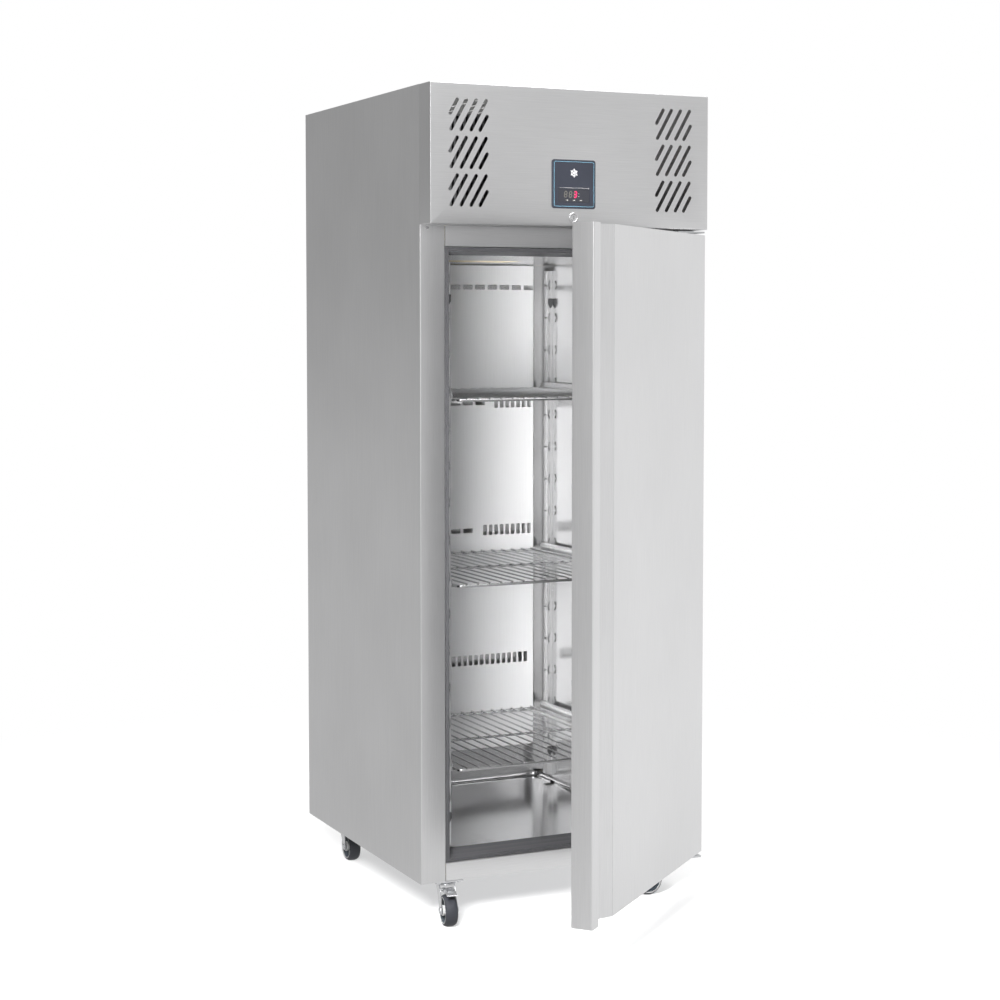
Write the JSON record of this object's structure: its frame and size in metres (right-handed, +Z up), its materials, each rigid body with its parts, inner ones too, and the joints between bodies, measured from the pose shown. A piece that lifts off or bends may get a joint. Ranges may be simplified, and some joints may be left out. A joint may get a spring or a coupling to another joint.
{
  "type": "reach in refrigerator",
  "caption": "Upright stainless reach-in refrigerator with a hinged door, wire shelves, top refrigeration unit and swivel castors.",
  "frame": {"origin": "on the floor under the middle of the cabinet's footprint, fascia front to back panel and side to side, with the castors standing on z = 0", "axes": "+X to the right seen from the front, +Y towards the back, +Z up; the door is on the -Y side and stands open by 40.2 degrees at rest"},
  "size_m": [0.7384, 1.269, 1.96],
  "materials": {
    "brushed_case": "satin",
    "bright_lining": "polished",
    "galvanised": "satin",
    "foam": "matte",
    "foam_case": "matte",
    "grey_plastic": "matte",
    "black_plastic": "matte",
    "shelf_wire": "satin",
    "black_paint": "satin",
    "aluminium_fins": "satin",
    "fan_blade": "matte",
    "copper": "satin",
    "slate_plastic": "satin",
    "dark_window": "gloss",
    "button_rubber": "matte",
    "lock_chrome": "polished",
    "gasket_rubber": "matte",
    "white_nylon": "matte",
    "zinc": "satin",
    "wheel_core": "matte",
    "tread": "matte"
  },
  "bodies": {
    "cabinet": {"side_panel_left": "brushed_case", "side_panel_right": "brushed_case", "rear_panel": "galvanised", "underside_panel": "galvanised", "face_frame": "brushed_case", "insulation_foam": "foam", "inner_liner": "bright_lining", "base_tray": "bright_lining", "breaker_frame": "grey_plastic", "duct_panel": "bright_lining", "racking_uprights": "bright_lining", "upright_clips": "black_plastic", "tray_slides": "bright_lining", "unit_deck": "galvanised", "fascia_panel": "brushed_case", "top_cover": "galvanised", "rear_grille": "galvanised", "compressor": "black_paint", "condenser_coil": "aluminium_fins", "condenser_fan_shroud": "black_paint", "evaporator_case": "foam_case", "evaporator_coil": "aluminium_fins", "pipework": "copper", "electrical_box": "grey_plastic", "condensate_tray": "galvanised", "cable_gland": "black_plastic", "control_bezel": "slate_plastic", "display_window": "dark_window", "lock_body": "lock_chrome", "hinge_brackets": "zinc", "castor_plates": "zinc"},
    "door": {"door_skin": "brushed_case", "door_handle_channel": "brushed_case", "door_foam": "foam", "door_inner_pan": "bright_lining", "door_gasket": "gasket_rubber", "door_bushes": "white_nylon"},
    "shelf_top": {"wire_shelf_top": "shelf_wire"},
    "shelf_middle": {"wire_shelf_middle": "shelf_wire"},
    "shelf_bottom": {"wire_shelf_bottom": "shelf_wire"},
    "button_left": {"button_left": "button_rubber"},
    "button_middle": {"button_middle": "button_rubber"},
    "button_right": {"button_right": "button_rubber"},
    "lock_barrel": {"lock_barrel": "lock_chrome"},
    "condenser_fan": {"condenser_fan_blade": "fan_blade"},
    "evaporator_fan": {"evaporator_fan_blade": "fan_blade"},
    "castor_fl_swivel": {"castor_fl_fork": "zinc"},
    "castor_fl_roller": {"castor_fl_wheel": "wheel_core", "castor_fl_tyre": "tread"},
    "castor_fr_swivel": {"castor_fr_fork": "zinc"},
    "castor_fr_roller": {"castor_fr_wheel": "wheel_core", "castor_fr_tyre": "tread"},
    "castor_rl_swivel": {"castor_rl_fork": "zinc"},
    "castor_rl_roller": {"castor_rl_wheel": "wheel_core", "castor_rl_tyre": "tread"},
    "castor_rr_swivel": {"castor_rr_fork": "zinc"},
    "castor_rr_roller": {"castor_rr_wheel": "wheel_core", "castor_rr_tyre": "tread"},
    "castor_fl_pedal": {"castor_fl_brake": "zinc"},
    "castor_fr_pedal": {"castor_fr_brake": "zinc"}
  },
  "joints": [
    {"name": "door_hinge", "type": "hinge", "parent": "cabinet", "child": "door", "pos_m": [0.336, -0.386, 0.9], "axis": [0, 0, 1], "range_deg": [-40.2, 69.8]},
    {"name": "shelf_top_slide", "type": "slide", "parent": "cabinet", "child": "shelf_top", "axis": [0, -1, 0], "range_m": [0, 0.06]},
    {"name": "shelf_middle_slide", "type": "slide", "parent": "cabinet", "child": "shelf_middle", "axis": [0, -1, 0], "range_m": [0, 0.06]},
    {"name": "shelf_bottom_slide", "type": "slide", "parent": "cabinet", "child": "shelf_bottom", "axis": [0, -1, 0], "range_m": [0, 0.06]},
    {"name": "button_left_press", "type": "slide", "parent": "cabinet", "child": "button_left", "axis": [0, 1, 0], "range_m": [0, 0.0006], "stiffness_N_per_m": 500},
    {"name": "button_middle_press", "type": "slide", "parent": "cabinet", "child": "button_middle", "axis": [0, 1, 0], "range_m": [0, 0.0006], "stiffness_N_per_m": 500},
    {"name": "button_right_press", "type": "slide", "parent": "cabinet", "child": "button_right", "axis": [0, 1, 0], "range_m": [0, 0.0006], "stiffness_N_per_m": 500},
    {"name": "lock_turn", "type": "hinge", "parent": "cabinet", "child": "lock_barrel", "pos_m": [0, -0.412, 1.661], "axis": [0, -1, 0], "range_deg": [0, 90]},
    {"name": "condenser_fan_spin", "type": "hinge", "parent": "cabinet", "child": "condenser_fan", "pos_m": [-0.19, -0.239, 1.7762], "axis": [0, 1, 0], "continuous": true},
    {"name": "evaporator_fan_spin", "type": "hinge", "parent": "cabinet", "child": "evaporator_fan", "pos_m": [-0.06, 0.254, 1.7362], "axis": [0, 1, 0], "continuous": true},
    {"name": "castor_fl_turn", "type": "hinge", "parent": "cabinet", "child": "castor_fl_swivel", "pos_m": [-0.29, -0.32, 0.09], "axis": [0, 0, 1], "continuous": true},
    {"name": "castor_fl_roll", "type": "hinge", "parent": "castor_fl_swivel", "child": "castor_fl_roller", "pos_m": [-0.29573, -0.3525, 0.0375], "axis": [0.9848, -0.1736, 0], "continuous": true},
    {"name": "castor_fr_turn", "type": "hinge", "parent": "cabinet", "child": "castor_fr_swivel", "pos_m": [0.29, -0.32, 0.09], "axis": [0, 0, 1], "continuous": true},
    {"name": "castor_fr_roll", "type": "hinge", "parent": "castor_fr_swivel", "child": "castor_fr_roller", "pos_m": [0.25702, -0.32115, 0.0375], "axis": [0.0349, -0.9994, 0], "continuous": true},
    {"name": "castor_rl_turn", "type": "hinge", "parent": "cabinet", "child": "castor_rl_swivel", "pos_m": [-0.29, 0.325, 0.09], "axis": [0, 0, 1], "continuous": true},
    {"name": "castor_rl_roll", "type": "hinge", "parent": "castor_rl_swivel", "child": "castor_rl_roller", "pos_m": [-0.29173, 0.29204, 0.0375], "axis": [0.9986, -0.0523, 0], "continuous": true},
    {"name": "castor_rr_turn", "type": "hinge", "parent": "cabinet", "child": "castor_rr_swivel", "pos_m": [0.29, 0.325, 0.09], "axis": [0, 0, 1], "continuous": true},
    {"name": "castor_rr_roll", "type": "hinge", "parent": "castor_rr_swivel", "child": "castor_rr_roller", "pos_m": [0.26968, 0.351, 0.0375], "axis": [-0.788, -0.6157, 0], "continuous": true},
    {"name": "castor_fl_brake_press", "type": "hinge", "parent": "castor_fl_swivel", "child": "castor_fl_pedal", "pos_m": [-0.29347, -0.3397, 0.0837], "axis": [0.9848, -0.1736, 0], "range_deg": [0, 8]},
    {"name": "castor_fr_brake_press", "type": "hinge", "parent": "castor_fr_swivel", "child": "castor_fr_pedal", "pos_m": [0.27001, -0.3207, 0.0837], "axis": [0.0349, -0.9994, 0], "range_deg": [0, 8]}
  ]
}
